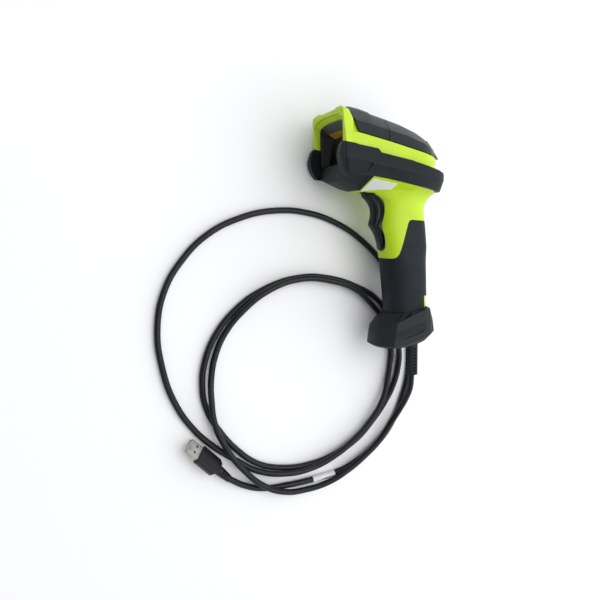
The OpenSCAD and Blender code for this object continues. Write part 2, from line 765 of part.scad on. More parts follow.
module screw_paths() {
  for (p = handle_screws_at) {
    bar_y(-11, far, p[0], p[1], handle_screw_r + screw_slack);
    bar_y(screw_head_y, far, p[0], p[1], 2.8);
  }
}

module lower_housing_left() {
  color(lime) lie_down() {
    difference() {
      lower_housing();
      box([-far, 0, -far], [far, far, far]);
    }
    handle_bosses(-1);
  }
}

module lower_housing_right() {
  color(lime) lie_down() {
    difference() {
      lower_housing();
      box([-far, -far, -far], [far, 0, far]);
      screw_paths();
    }
    difference() {
      handle_bosses(1);
      screw_paths();
    }
  }
}

module housing_screws() {
  color(metal) lie_down() for (p = handle_screws_at) {
    bar_y(-9, screw_head_y, p[0], p[1], handle_screw_r);
    bar_y(screw_head_y, screw_head_y + 1.1, p[0], p[1], 2.6);
  }
}

module grip_sleeve() {
  color(charcoal) lie_down() difference() {
    intersection() {
      handle_form();
      side(grip_zone, far);
    }
    handle_form(grip_t);
    side(below_top, far);
    strap_place(0.1);
    for (z = [-50, -65]) bar_y(-6, 6, handle_x(z) + lookup(z, grip_depths) + 0.2, z, 1.2);
  }
}

// ---- Foot of the handle: half outline seen from below, and how its edges rise to the rear
foot_y = foot_w / 2;
foot_plan = [
  [70.9, 3], [71.7, 8], [75.4, foot_y - 6.7], [83, foot_y - 1.6], [94, foot_y], [108, foot_y],
  [116.5, foot_y - 1.8], [122.5, foot_y - 6], [126, foot_y - 12.5], [foot_rear_x, 4]];
foot_outline = concat([for (p = foot_plan) [p[0], -p[1]]],
  [for (i = [len(foot_plan) - 1:-1:0]) foot_plan[i]]);
foot_side_top = [[70, -132.2], [72.5, -130], [80.5, -122], [88, -117], [98, -110.6], [107, -105.6],
  [111, -104.6], [127, -105]];
foot_mid = [[70, -136], [84, -130], [106, -116], [127, -112.5]];
foot_side_low = [[70, -142.2], [84, -140.2], [94, -137], [104, -133.4], [111.6, -129.6], [117, -126.6],
  [127, -121]];
foot_belly = [[72, -144], [94, -140.2], [104, -136.8], [118, -130.8], [127, -126.8]];
foot_bottom = [[72, -145.2], [94, -141.6], [104, -138.4], [118, -132.6], [127, -129.2]];

// A ring of the foot: its outline drawn in by inset, its front moved back and its rear forward
function foot_ring(inset, front_lost, rear_lost, heights) = [for (p = foot_outline)
  let (c = [98, 0], q = p + (c - p) * inset / norm(c - p),
    x = q[0] < 84 ? q[0] + front_lost * (84 - q[0]) / 13
    : q[0] > 108 ? q[0] - rear_lost * (q[0] - 108) / 18.8 : q[0]) [x, q[1], lookup(x, heights)]];
function shoulder_ring() = [for (p = foot_outline)
  let (a = atan2(p[1] / foot_y, (p[0] - 98) / 28.8), x = handle_x(-113) + 17.9 * power(cos(a), 2.3))
    [x, handle_b * power(sin(a), 2.3), foot_top(x) + shoulder_lift]];

module foot_form() {
  loft([
    foot_ring(9, 1, 6, foot_bottom), foot_ring(3.4, 1.2, 4, foot_belly), foot_ring(0, 0.8,
      foot_rear_lost, foot_side_low),
    foot_ring(0, 0.4, 4.6, foot_mid), foot_ring(0.4, 0, 10, foot_side_top), shoulder_ring()],
      bent_ends = true);
}

strip_outline = [
  [78.6, -134.6], [77.6, -130.4], [84.5, -127.1], [101.4, -118.8], [110, -115.2], [112.8, -119],
  [107.8, -124.6], [95.6, -130.8], [87, -133.7]];

module foot_boot() {
  color(black) lie_down() difference() {
    foot_form();
    difference() {
      handle_form(grip_t);
      side(floor_cut, far);
    }
    outlet(0.2);
    for (s = [-1, 1]) translate([0, s * (foot_y + 5 - strip_depth), 0]) side(strip_outline, 5);
    bar_z(-far, foot_floor(foot_screw_x) + 1, foot_screw_x, 0, 3.2);
  }
}

// Frame of the cord outlet: z runs up along the relief, the root is at z = 0
module relief_frame() {
  translate(relief_root) rotate([0, -relief_lean, 0]) children();
}

relief_d = 8.4;
plug_low = 8;
socket_low = plug_low + 4.5;

module foot_plate() {
  plate_t = 2.4;
  plate_top = [[0, foot_floor(0) + plate_t], [far, foot_floor(far) + plate_t], [far, far], [0, far]];
  color(black) lie_down() difference() {
    handle_form(cavity_t + 0.1);
    side(floor_cut, far);
    side(plate_top, far);
    outlet(0.1);
    bar_z(-far, 0, foot_screw_x, 0, foot_screw_r + screw_slack);
  }
}

foot_screw_x = 96;
foot_screw_r = 1.25;

module foot_screw() {
  head_top = foot_floor(foot_screw_x) - 0.8;
  color(metal) lie_down() {
    bar_z(head_top, head_top + 9, foot_screw_x, 0, foot_screw_r);
    bar_z(head_top - 1.6, head_top, foot_screw_x, 0, 2.4);
  }
}

// ---- Cord outlet
module strain_relief() {
  slot_pitch = 2.8;
  slot_h = 1.3;
  root = relief_w / 2;
  tip = root - 0.7;
  taper = [[-root, plug_low], [root, plug_low], [root, 0], [tip, -relief_l], [-tip, -relief_l], [-root, 0]];
  section = [[-root, -relief_d / 2], [root, -relief_d / 2], [root, relief_d / 2], [-root, relief_d / 2]];
  color(black) lie_down() relief_frame() difference() {
    intersection() {
      side(taper, relief_d / 2);
      translate([0, 0, -relief_l]) linear_extrude(relief_l + plug_low) polygon(soften(soften(section,
        0.22)));
    }
    for (i = [0:8], s = [-1, 1]) {
      z = -2.6 - slot_pitch * i;
      box([-2.9, s * relief_d / 2 - 1.2, z - slot_h / 2], [2, s * relief_d / 2 + 1.2, z + slot_h / 2]);
    }
    for (i = [0:7], s = [-1, 1]) {
      z = -4 - slot_pitch * i;
      box([s * root - 1.3, -2.4, z - slot_h / 2], [s * root + 1.3, 2.4, z + slot_h / 2]);
    }
  }
}

plug_body_l = 14;
socket_wall = 1.7;
modular_x = 4;
modular_y = 5.8;

module cord_plug() {
  color("#d0d4d6") lie_down() relief_frame() {
    box([-modular_x, -modular_y, plug_low], [modular_x, modular_y, plug_low + plug_body_l]);
    box([-modular_x - 0.8, -1.5, plug_low + 6], [-modular_x, 1.5, plug_low + plug_body_l]);
  }
}

module cord_socket() {
  gap = 0.1;
  color(black) lie_down() relief_frame() difference() {
    box([-modular_x - socket_wall - 0.6, -modular_y - socket_wall, socket_low],
      [modular_x + socket_wall, modular_y + socket_wall, plug_low + plug_body_l + 2]);
    box([-modular_x - gap, -modular_y - gap, 0], [modular_x + gap, modular_y + gap,
      plug_low + plug_body_l + gap]);
    box([-modular_x - 1, -1.7, 0], [0, 1.7, plug_low + plug_body_l + gap]);
  }
}

// Flat cable from the main board down to the switch board and the socket
module flat_cable() {
  path = [[72.5, board_low - 2], [72.5, -12], [74, -20], [77.5, -50], [88, -98], [100, -110.4]];
  cable_t = 0.6;
  cable_w = 8;
  function offset_point(i, d) = let (a = path[max(i - 1, 0)], b = path[min(i + 1, len(path) - 1)],
    u = unit(b - a)) path[i] + d * [-u[1], u[0]];
  n = len(path) - 1;
  outline = concat([for (i = [0:n]) offset_point(i, cable_t / 2)],
    [for (i = [n:-1:0]) offset_point(i, -cable_t / 2)]);
  color("#d8d2c0") lie_down() side(outline, cable_w / 2);
}

// ---- Trigger group. The trigger swings on a pin in the cradle.
pivot = [47.5, -12.5];
fork_y = 3.2;
shell_y = trigger_w / 2 - 1.8;
trigger_y = trigger_w / 2;
// Front of the trigger: [x, z, how far it rounds back to its sides]
trigger_front = [
  [42.4, -19.4, 6.5], [43.6, -21.6, 7], [47.2, -24, 6.2], [49.8, -26, 5.8], [51.7, -28.3, 5.4],
  [52.9, -30.8, 5.2],
  [53.5, -33, 5.1], [53.7, -35.2, 5], [53.7, -37.8, 4.7], [53.4, -40.8, 4.4], [53.5, -43, 4.3],
  [54.8, -44.8, 4.3],
  [57.7, -47.4, 4.3], [59.9, -50.1, 4.3], [62.3, -54, 4.2], [64.2, -57.1, 3.8], [65.8, -60, 3],
  [67.1, -61.7, 2.4]];
trigger_back = [
  [73.4, -61.4], [73.2, -57.8], [71, -51.5], [67.6, -45.6], [65.4, -40.8], [65.2, -33.4], [62.4, -25.7],
  [60, -20], [56, -17], [51.6, -14.5], [51.2, -10.6], [47.5, -8.6], [43.6, -10.6], [41.8, -14.5]];
trigger_pocket = [
  [46.5, -19.6], [51.2, -23.6], [54.6, -28], [56, -32], [56.4, -36], [56.3, -42.6], [58.6, -46],
  [63, -51], [64.6, -53.6], [far, -53.6], [far, -16.5], [50, -16.5]];

// The outline of the trigger at k half widths from its middle: its front is rounded across
trigger_places = [1.02, 0.96, 0.86, 0.7, 0.45, 0, -0.45, -0.7, -0.86, -0.96, -1.02];
function trigger_ring(k) = let (d = abs(k) > 1 ? 1.14 : 1 - sqrt(1 - k * k)) concat(
  [for (p = trigger_front) [p[0] + p[2] * d, k * trigger_y, p[1] + p[2] * d * 0.12]],
  [for (p = trigger_back) [p[0], k * trigger_y, p[1]]]);

module trigger() {
  pad_z = pivot[1] - plunger_drop;
  narrow_z = -37;
  color(black) lie_down() difference() {
    union() {
      difference() {
        intersection() {
          loft([for (k = trigger_places) trigger_ring(k)]);
          slab(-far, far, trigger_y, -far, far);
        }
        side(trigger_pocket, shell_y);
        difference() {
          side([[40, narrow_z], [far, narrow_z], [far, -far], [40, -far]], far);
          front(slot_face(0), 0, far);
        }
      }
      slab(52, plunger_tip_x - plunger_gap, 2.2, pad_z - 2.2, pad_z + 2.2);
    }
    bar_y(-far, far, pivot[0], pivot[1], pin_r + pin_clearance);
    bar_y(-fork_y, fork_y, pivot[0], pivot[1], 5.6);
  }
}

cradle_y = 12.2;
cradle_in = slot_y + 0.1;

module trigger_pin() {
  color(metal) lie_down() bar_y(-cradle_y, cradle_y, pivot[0], pivot[1], pin_r);
}

// Return spring: a coil round the pin with one leg on the trigger and one under the board
module trigger_spring() {
  start = 17.5;
  sweep = 3 * 360 + 325;
  steps = 46;
  coil_r = 2.7;
  half = 2.15;
  coil = [for (i = [0:steps]) let (a = start + sweep * i / steps)
    [pivot[0] + coil_r * cos(a), half * (2 * i / steps - 1), pivot[1] + coil_r * sin(a)]];
  leg_in = coil[0] - 4.1 * [-sin(start), 0, cos(start)];
  leg_out = coil[steps] + 5.6 * [sin(start), 0, cos(start)];
  path = concat([leg_in], coil, [leg_out]);
  color(metal) lie_down() tube(path, spring_wire_r, 6);
}

// Moulded bracket in the neck that holds the pin and carries the switch board
module trigger_cradle() {
  bridge_z = -6.6;
  switch_back_x = switch_rear_x + board_t;
  color("#55585c") lie_down() difference() {
    union() {
      for (s = [-1, 1]) {
        box([43, min(s * cradle_in, s * cradle_y), -14.8],
          [56, max(s * cradle_in, s * cradle_y), bridge_z]);
        box([56, min(s * cradle_in, s * cradle_y), -11.5],
          [72.4, max(s * cradle_in, s * cradle_y), bridge_z]);
        box([switch_back_x, min(s * cradle_in, s * cradle_y), -34],
          [switch_back_x + 2, max(s * cradle_in, s * cradle_y), bridge_z]);
      }
      slab(43, 55, cradle_y, bridge_z - 0.4, board_low);
      slab(switch_back_x, switch_back_x + 2, cradle_y, -34, -18);
    }
    bar_y(-far, far, pivot[0], pivot[1], pin_r + 0.02);
  }
}

plunger_drop = 11.5;
plunger_gap = 0.3;
plunger_tip_x = 60.8;
switch_front_x = 62.4;
switch_rear_x = 68.4;
switch_y = 3.2;
switch_z = [-31, -18.2];

module switch_body() {
  color(black) lie_down() difference() {
    slab(switch_front_x, switch_rear_x, switch_y, switch_z[0], switch_z[1]);
    bar_x(switch_front_x - 1, switch_front_x + 4, 0, pivot[1] - plunger_drop, plunger_r + screw_slack);
  }
}

module switch_plunger() {
  color("#b03030") lie_down() bar_x(plunger_tip_x, switch_front_x + 2.6, 0, pivot[1] - plunger_drop,
    plunger_r);
}

module switch_board() {
  color(board_green) lie_down() slab(switch_rear_x, switch_rear_x + board_t, 7.5, -33.5, -17);
}

// Front edge of the surround at the slot and at its outside, from the top down, and its back edge
rim_inner = [
  [45.6, -18.2], [47.4, -19.1], [50.8, -21.4], [53.6, -23.2], [56.1, -25.4], [57.6, -27.7], [58.4, -30],
  [58.9, -33],
  [58.8, -36], [57.9, -40.3], [57.9, -43], [59.6, -45.3], [62.1, -47.2], [64.1, -49.2], [65.6, -51.2],
  [66.5, -53.4],
  [66.9, -56.4], [67.4, -60.3], [68, -62.8]];
rim_outer = [
  [46.5, -17.8], [49, -18.6], [54.6, -21], [57.1, -23], [59, -25.3], [60, -27.6], [60.8, -29.8],
  [61.1, -33.2],
  [60.9, -36.2], [59.9, -40.1], [59.8, -42.9], [60.7, -45.2], [62.9, -47.1], [64.5, -49.1],
  [65.7, -51.2], [66.6, -53.5],
  [67.2, -56.5], [67.8, -60.3], [68.2, -62.8]];
rim_back = [
  [73, -62.8], [72.6, -58], [70.5, -52], [67.6, -46.5], [65.8, -42], [65.4, -34], [64.4, -28.5],
  [61.5, -23.5],
  [58, -19], [54, -15], [46, -14]];

module trigger_surround() {
  rim_spread = 3.7;
  color(black) lie_down() difference() {
    intersection() {
      surround_seat(0);
      loft([for (r = [[1, rim_outer], [0.01, rim_inner], [-0.01, rim_inner], [-1, rim_outer]])
        let (y = r[0] * rim_spread + sign(r[0]) * slot_y) [for (p = concat(r[1], rim_back)) [p[0],
          y, p[1]]]]);
    }
    trigger_slot();
  }
}

// ---- Blank rating plate on the sloping underside of the head
plate_t = 0.2;
plate_outline = [[36.6, -28.6], [58.2, -28.6], [57.6, -20.4], [48, -17.6], [38.6, -13.8], [35.6, -10]];

module rating_plate() {
  color("white") lie_down() difference() {
    intersection() {
      translate([0, 0, -30]) linear_extrude(25) polygon(plate_outline);
      core_form(-plate_t);
    }
    core_form();
    handle_form();
  }
}

// ---- Data cord. Its route on the table, chosen point by point, with the table at z = 0.
cord_r = cord_d / 2;
cord_route = [
  [117, -165.9, 31], [119, -178, 29], [120, -190, 23], [119, -203, 16], [115, -217, 11],
  [107, -233, 9.5], [94, -248, 9], [78, -262, 8.8], [62, -273, 7], [43, -280, 5], [21, -281, 7.5],
  [1, -275, 9], [-19, -261, 9], [-36, -243, 9], [-49, -222, 9.4], [-54, -203, 8.4],
  [-56, -184, 5.6], [-54, -163, 4], [-48, -145, 4.4], [-37, -127, 7], [-18, -108, 8.8],
  [9, -95, 8.8], [37, -93, 8.8], [63, -98, 8.6], [79, -108, 8.2], [90, -117, 8.2],
  [101, -126, 8.2], [111, -138, 7.8], [118, -152, 4.6], [120, -166, 2.8], [118, -181, 2.6],
  [111, -199, 2.6], [99, -219, 2.6], [86, -235, 2.6], [66, -249, 2.6], [43, -258, 2.6],
  [17, -261, 2.6], [-6, -257, 2.6], [-26, -245, 2.6], [-43, -229, 2.6], [-56, -211, 2.6],
  [-62, -191, 2.6], [-62, -170, 2.6], [-56, -149, 2.6], [-43, -128, 2.6], [-21, -108, 2.6],
  [11, -93.5, 2.6], [39, -91, 2.6], [68, -96, 2.6], [86, -103, 2.6], [98, -113, 2.6],
  [105, -128, 2.6], [109, -143, 2.6], [111, -160, 2.6], [110, -178, 4], [105, -196, 8.2],
  [95, -216, 8.8], [83, -231, 8.8], [64, -248, 8.6], [42, -260, 7.8], [18, -265, 6.6],
  [-6, -263, 4.2], [-26, -254, 2.6], [-47, -242, 2.6], [-65, -228, 2.6], [-83, -206, 2.6],
  [-96, -178, 2.6], [-103, -148, 2.6], [-101, -117, 2.6], [-90, -91, 2.6], [-72, -68, 2.6],
  [-47, -51, 2.6], [-20, -41, 2.6], [10, -38, 2.6], [40, -43, 2.6], [67, -55, 2.6],
  [90, -72, 2.6], [109, -94, 2.6], [123, -121, 2.6], [130, -149, 2.6], [132, -173, 2.6],
  [130, -190, 2.6], [123, -215, 2.6], [110, -237, 2.6], [90, -255, 2.6], [69, -266, 2.9],
  [47, -272, 2.9], [25, -276.5, 2.95], [1, -279, 3.2], [-16, -275.5, 4.8], [-31, -268.5, 7]];
// Places in the route where one length of cord ends and the next one begins
cord_joints = [0, 24, 29, 50, 53, 77, 80, 90];
exit_dir = [sin(relief_lean), -cos(relief_lean) * cos(lie_tilt), -cos(relief_lean) * sin(lie_tilt)];
plug_dir = unit([-0.79, 0.613, 0.06]);
outlet_sw = relief_root + relief_l * [sin(relief_lean), 0, -cos(relief_lean)];
outlet = [outlet_sw[0], outlet_sw[2] * cos(lie_tilt), lie_h + outlet_sw[2] * sin(lie_tilt)];
last_place = len(cord_route) - 1;
function cord_point(i) = i == 0 ? outlet
  : [cord_route[i][0], cord_route[i][1], max(cord_route[i][2] - 2.6 + cord_r, cord_r)];
function cord_dir(i) = i == 0 ? exit_dir : i == last_place ? plug_dir : unit(cord_point(i
  + 1) - cord_point(i - 1));

// A round ring of points about a place, square to a direction
function ring_at(p, d, r, n) = let (u = unit(cross(d, [0, 0, 1])), v = cross(d, u))
  [for (i = [0:n - 1]) let (a = 360 * (i + 0.5) / n) p + r * (cos(a) * u + sin(a) * v)];

// A tube along a path that never runs straight up
module tube(path, r, n) {
  m = len(path) - 1;
  loft([for (i = [0:m]) ring_at(path[i], unit(path[min(i + 1, m)] - path[max(i - 1, 0)]), r, n)]);
}

module cord_length(k, r = cord_r) {
  loft([for (i = [cord_joints[k]:cord_joints[k + 1]]) ring_at(cord_point(i), cord_dir(i), r, 10)]);
}

module cord_first_loop() { color(black) on_table() cord_length(0); }
module cord_under_foot_upper() { color(black) on_table() cord_length(1); }
module cord_second_loop() { color(black) on_table() cord_length(2); }
module cord_under_foot_lower() { color(black) on_table() cord_length(3); }
module cord_outer_loop() { color(black) on_table() cord_length(4); }
module cord_under_foot_rear() { color(black) on_table() cord_length(5); }
module cord_plug_end() { color(black) on_table() cord_length(6); }

// White tag wrapped round the cord near the plug
module cord_tag() {
  tag_t = 0.25;
  tag_end = 0.03;
  place = 85;
  rings = [for (i = [place, place + 1]) ring_at(cord_point(i), cord_dir(i), cord_r + tag_t, 10)];
  color("white") on_table() difference() {
    loft([for (k = [tag_end, 1 - tag_end]) rings[0] + (rings[1] - rings[0]) * k]);
    cord_length(6);
  }
}

// ---- Plug at the far end, rolled a little on its side. Its x runs out of the mouth.
plug_roll = 42;
plug_turn = atan2(plug_dir[1], plug_dir[0]);
plug_rise = asin(plug_dir[2]);
plug_relief_l = 14;
shell_w = 12;
shell_t = 4.5;
shell_wall = 0.3;

module plug_frame() {
  on_table() translate(cord_point(last_place)) rotate([0, 0, plug_turn]) rotate([0, -plug_rise, 0])
    rotate([plug_roll, 0, 0]) children();
}

module plug_relief() {
  rib_pitch = 2.6;
  color(black) plug_frame() difference() {
    rotate([0, 90, 0]) cylinder(h = plug_relief_l, r1 = cord_r + 0.5, r2 = cord_r + 1.7);
    for (i = [0:2], s = [-1, 1])
      box([4 + rib_pitch * i, -far, s == 1 ? cord_r - 0.2 : -far],
        [5.1 + rib_pitch * i, far, s == 1 ? far : -cord_r + 0.2]);
  }
}

module usb_overmould() {
  x0 = plug_relief_l;
  x1 = x0 + plug_grip_l;
  w = plug_grip_w / 2;
  shoulder = 3.5;
  plan = [[x0, -w + shoulder], [x0 + shoulder, -w], [x1 - 0.6, -w], [x1, -w + 0.6], [x1, w - 0.6],
    [x1 - 0.6, w], [x0 + shoulder, w], [x0, w - shoulder]];
  color(black) plug_frame() intersection() {
    translate([0, 0, -plug_grip_t / 2]) linear_extrude(plug_grip_t) polygon(plan);
    rotate([90, 0, 90]) linear_extrude(far) polygon(soften(soften(
      [[-w, -plug_grip_t / 2], [w, -plug_grip_t / 2], [w, plug_grip_t / 2], [-w, plug_grip_t / 2]],
      0.12), 0.25));
  }
}

shell_x = plug_relief_l + plug_grip_l;

module usb_shell() {
  hole = 2.2;
  color(metal) plug_frame() difference() {
    slab(shell_x, shell_x + shell_l, shell_w / 2, -shell_t / 2, shell_t / 2);
    slab(shell_x - 1, shell_x + shell_l + 1, shell_w / 2 - shell_wall, -shell_t / 2 + shell_wall,
      shell_t / 2 - shell_wall);
    for (y = [-2.9, 2.9]) box([shell_x + 4.6, y - hole / 2, -far],
      [shell_x + 4.6 + hole, y + hole / 2, far]);
  }
}

tongue_t = 1.9;

module usb_tongue() {
  color("white") plug_frame() slab(shell_x, shell_x + shell_l - 0.6, shell_w / 2 - shell_wall,
    -shell_t / 2 + shell_wall, -shell_t / 2 + shell_wall + tongue_t);
}

module usb_contacts() {
  top = -shell_t / 2 + shell_wall + tongue_t;
  color("#c9a23a") plug_frame() for (y = [-3.5, -1, 1, 3.5])
    box([shell_x, y - 0.5, top], [shell_x + shell_l - 2.5, y + 0.5, top + 0.15]);
}

upper_housing();
lower_housing_left();
lower_housing_right();
head_bumper();
front_cover();
rear_cover();
status_lens();
rear_lens();
window_bezel();
window_gasket();
scan_window();
amber_lens();
engine_chassis();
imager_barrel();
imager_lens();
aimer_lens();
illumination_leds();
sensor_board();
main_board();
board_chips();
beeper();
vibration_motor();
engine_screws();
board_screws();
housing_screws();
trigger();
trigger_pin();
trigger_spring();
trigger_cradle();
trigger_surround();
switch_body();
switch_plunger();
switch_board();
flat_cable();
grip_sleeve();
foot_boot();
foot_plate();
foot_screw();
cord_socket();
cord_plug();
strain_relief();
cord_first_loop();
cord_under_foot_upper();
cord_second_loop();
cord_under_foot_lower();
cord_outer_loop();
cord_under_foot_rear();
cord_plug_end();
cord_tag();
plug_relief();
usb_overmould();
usb_shell();
usb_tongue();
usb_contacts();
rating_plate();
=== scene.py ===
"""Looks of a handheld barcode scanner lying on its side, with its cord and USB plug."""

import json
import math

import bmesh
import bpy
from mathutils import Matrix, Vector

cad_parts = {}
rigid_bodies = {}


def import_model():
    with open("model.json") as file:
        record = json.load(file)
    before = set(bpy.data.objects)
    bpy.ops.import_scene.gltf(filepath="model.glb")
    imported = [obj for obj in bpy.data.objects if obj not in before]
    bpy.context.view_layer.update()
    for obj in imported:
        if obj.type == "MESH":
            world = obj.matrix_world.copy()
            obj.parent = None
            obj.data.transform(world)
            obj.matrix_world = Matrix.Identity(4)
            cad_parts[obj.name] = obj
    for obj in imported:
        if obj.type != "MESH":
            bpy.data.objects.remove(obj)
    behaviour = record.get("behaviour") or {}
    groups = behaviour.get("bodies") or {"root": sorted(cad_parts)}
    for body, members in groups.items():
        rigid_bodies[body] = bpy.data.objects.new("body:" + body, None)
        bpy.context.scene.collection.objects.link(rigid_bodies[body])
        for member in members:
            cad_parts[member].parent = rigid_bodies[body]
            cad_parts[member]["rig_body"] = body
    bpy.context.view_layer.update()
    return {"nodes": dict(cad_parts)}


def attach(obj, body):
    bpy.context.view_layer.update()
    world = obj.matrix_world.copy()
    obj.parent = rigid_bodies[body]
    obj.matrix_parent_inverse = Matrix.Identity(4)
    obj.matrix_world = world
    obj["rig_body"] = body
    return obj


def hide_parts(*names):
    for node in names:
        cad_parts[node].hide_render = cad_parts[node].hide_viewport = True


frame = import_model()

# ---------------------------------------------------------------- sizes and places, mm

MM = 0.001

# The scanner lies on its right side, LIE_TILT off flat. LIE_H is how high its middle lies at the
# crease of the bumper.
LIE_TILT = math.radians(2.2)
BUMPER_W = 75
CREASE_DROP = 0.01
LIE_H = BUMPER_W / 2 * math.cos(LIE_TILT) + CREASE_DROP

# The root and the tip of the strain relief: x runs back along the head of the upright scanner and
# z up its handle. The rim of the slanted end is RELIEF_RIM lower than the tip.
RELIEF_X, RELIEF_Z = 112.6, -140.5
RELIEF_L = 26
RELIEF_LEAN = math.radians(9.8)
RELIEF_RIM = 0.8
TIP_X = RELIEF_X + RELIEF_L * math.sin(RELIEF_LEAN)
TIP_Z = RELIEF_Z - RELIEF_L * math.cos(RELIEF_LEAN)

# The front frame, the rear of the foot and the crown of the head. The scene's origin is midway
# between front and rear, and midway between the crown and the relief's rim.
FRAME_FRONT_X = 2.3
FOOT_REAR_X = 126.8
FOOT_REAR_LOST = 0.4
CROWN_TOP = 43.83
CENTRE_X = (FRAME_FRONT_X + FOOT_REAR_X - FOOT_REAR_LOST) / 2
CENTRE_Y = (CROWN_TOP + TIP_Z - RELIEF_RIM) / 2 * math.cos(LIE_TILT)

# The free cord, from the tip of the strain relief in three loops to the plug: x and y from the
# scanner's own origin as it lies, and z up from the table
CORD_D = 5.2
CORD_START = (TIP_X, TIP_Z * math.cos(LIE_TILT), LIE_H + TIP_Z * math.sin(LIE_TILT))
CORD_ROUTE = [
    (119, -178, 29), (120, -190, 23), (119, -203, 16), (115, -217, 11),
    (107, -233, 9.5), (94, -248, 9), (78, -262, 8.8), (62, -273, 7), (43, -280, 5), (21, -281, 7.5),
    (1, -275, 9), (-19, -261, 9), (-36, -243, 9), (-49, -222, 9.4), (-54, -203, 8.4),
    (-56, -184, 5.6), (-54, -163, 4), (-48, -145, 4.4), (-37, -127, 7), (-18, -108, 8.8),
    (9, -95, 8.8), (37, -93, 8.8), (63, -98, 8.6), (79, -108, 8.2), (90, -117, 8.2),
    (101, -126, 8.2), (111, -138, 7.8), (118, -152, 4.6), (120, -166, 2.8), (118, -181, 2.6),
    (111, -199, 2.6), (99, -219, 2.6), (86, -235, 2.6), (66, -249, 2.6), (43, -258, 2.6),
    (17, -261, 2.6), (-6, -257, 2.6), (-26, -245, 2.6), (-43, -229, 2.6), (-56, -211, 2.6),
    (-62, -191, 2.6), (-62, -170, 2.6), (-56, -149, 2.6), (-43, -128, 2.6), (-21, -108, 2.6),
    (11, -93.5, 2.6), (39, -91, 2.6), (68, -96, 2.6), (86, -103, 2.6), (98, -113, 2.6),
    (105, -128, 2.6), (109, -143, 2.6), (111, -160, 2.6), (110, -178, 4), (105, -196, 8.2),
    (95, -216, 8.8), (83, -231, 8.8), (64, -248, 8.6), (42, -260, 7.8), (18, -265, 6.6),
    (-6, -263, 4.2), (-26, -254, 2.6), (-47, -242, 2.6), (-65, -228, 2.6), (-83, -206, 2.6),
    (-96, -178, 2.6), (-103, -148, 2.6), (-101, -117, 2.6), (-90, -91, 2.6), (-72, -68, 2.6),
    (-47, -51, 2.6), (-20, -41, 2.6), (10, -38, 2.6), (40, -43, 2.6), (67, -55, 2.6),
    (90, -72, 2.6), (109, -94, 2.6), (123, -121, 2.6), (130, -149, 2.6), (132, -173, 2.6),
    (130, -190, 2.6), (123, -215, 2.6), (110, -237, 2.6), (90, -255, 2.6), (69, -266, 2.9),
    (47, -272, 2.9), (25, -276.5, 2.95), (1, -279, 3.2), (-16, -275.5, 4.8), (-31, -268.5, 7)
]
CORD_PLACES = [
    Vector((x - CENTRE_X, y - CENTRE_Y, z)) * MM for x, y, z in [CORD_START, *CORD_ROUTE]
]

# The dimpled band on each side of the foot: its middle, its slope, where its ends and its edges
# fade out, and the distance between dimples
BAND_X, BAND_Z = 96.0, -125.0
BAND_RUN, BAND_RISE = 0.914, 0.404
BAND_END = (14.6, 15.2)
BAND_EDGE = (2.5, 2.9)
DIMPLE_PITCH = 1.9

# How much the edges of the larger visible nodes are rounded
SOFT_EDGES = {
    "upper_housing": 0.35, "lower_housing_left": 0.35, "lower_housing_right": 0.35,
    "head_bumper": 0.5, "front_cover": 0.3, "rear_cover": 0.3, "foot_boot": 0.5,
    "grip_sleeve": 0.3, "window_bezel": 0.3, "trigger": 0.35, "trigger_surround": 0.25,
    "usb_overmould": 0.5, "strain_relief": 0.25,
}
# Points closer than WELD become one, faces that turn by less than FLAT_TURN are joined, an edge
# over SHARP_TURN is shaded as a crease, and an edge over ROUNDED_TURN is rounded.
WELD = 0.002
FLAT_TURN = math.radians(0.05)
SHARP_TURN = math.radians(22)
ROUNDED_TURN = math.radians(24)

# CAMERA_TURN is the turn from the frame to the camera: an axis as long as its angle in radians.
CAMERA_TURN = Vector((-3.011, -0.175, -0.564))
CAMERA_PLACE = Vector((-228.28, -26.43, 456.66))
CAMERA_LENS = 33.96
CAMERA_SENSOR = 36.0

# The floor is a square that reaches FLOOR_REACH each way, just below what lies on it.
FLOOR_REACH = 3000
FLOOR_DROP = 0.1


# ---------------------------------------------------------------- shader expressions

class Value:
    """A float socket that takes part in ordinary arithmetic."""

    def __init__(self, nodes, socket):
        self.nodes, self.socket = nodes, socket

    def _math(self, operation, other=0.0, flip=False):
        inputs = [other, self] if flip else [self, other]
        node = self.nodes.node("ShaderNodeMath", {"operation": operation}, dict(enumerate(inputs)))
        return Value(self.nodes, node.outputs[0])

    def __add__(self, other):
        return self._math("ADD", other)

    def __radd__(self, other):
        return self._math("ADD", other, flip=True)

    def __sub__(self, other):
        return self._math("SUBTRACT", other)

    def __rsub__(self, other):
        return self._math("SUBTRACT", other, flip=True)

    def __mul__(self, other):
        return self._math("MULTIPLY", other)

    def __rmul__(self, other):
        return self._math("MULTIPLY", other, flip=True)

    def __abs__(self):
        return self._math("ABSOLUTE")

    def above(self, lowest):
        """The value, or lowest where the value is less."""
        return self._math("MAXIMUM", lowest)

    def wave(self, pitch):
        """A sine that repeats every pitch."""
        return (self * (2 * math.pi / pitch))._math("SINE")

    def step(self, low, high):
        """0 below low, 1 above high, smooth between."""
        node = self.nodes.node(
            "ShaderNodeMapRange", {"interpolation_type": "SMOOTHSTEP"},
            {"Value": self, "From Min": low, "From Max": high},
        )
        return Value(self.nodes, node.outputs[0])


class Nodes:
    """A node tree that starts empty."""

    def __init__(self, tree):
        self.tree = tree
        self.tree.nodes.clear()

    def node(self, kind, settings=None, inputs=None):
        made = self.tree.nodes.new(kind)
        for key, value in (settings or {}).items():
            setattr(made, key, value)
        for key, value in (inputs or {}).items():
            self.feed(made.inputs[key], value)
        return made

    def feed(self, socket, value):
        if isinstance(value, Value):
            value = value.socket
        if isinstance(value, bpy.types.NodeSocket):
            self.tree.links.new(value, socket)
        elif socket.type == "RGBA":
            socket.default_value = (*value, 1.0)
        else:
            socket.default_value = value


